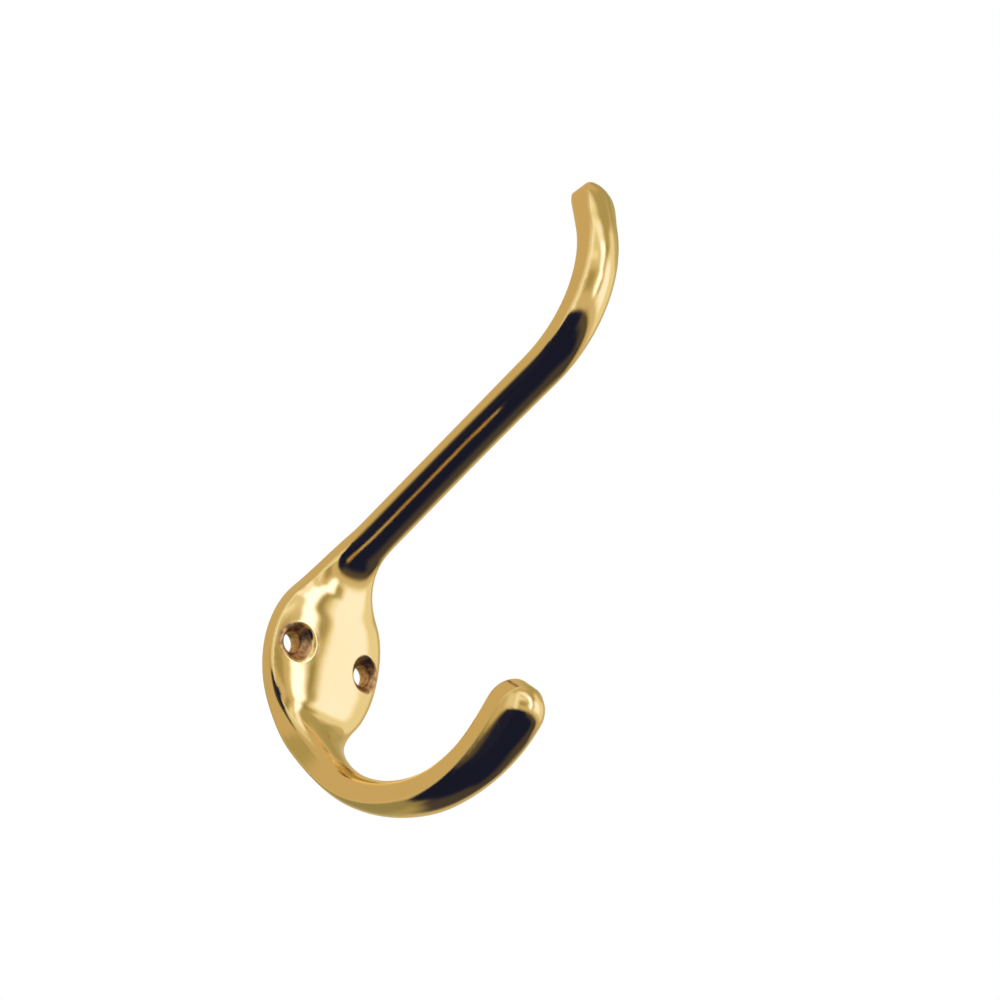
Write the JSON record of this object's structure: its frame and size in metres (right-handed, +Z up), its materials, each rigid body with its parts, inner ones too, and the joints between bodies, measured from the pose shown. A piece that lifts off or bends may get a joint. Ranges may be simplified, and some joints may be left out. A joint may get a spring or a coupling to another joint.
{
  "type": "double robe hook",
  "caption": "Wall-mounted cast brass robe hook: an oval screw plate with a long upper arm and a shorter upturned lower hook.",
  "frame": {"origin": "on the wall plane, midway between the two screw holes", "axes": "+Z up, -Y out from the wall to the front, X across the hook; the wall is the plane Y = 0"},
  "size_m": [0.029, 0.0651, 0.132],
  "materials": {
    "polished_brass": "polished"
  },
  "bodies": {
    "root": {"robe_hook": "polished_brass"}
  },
  "joints": []
}
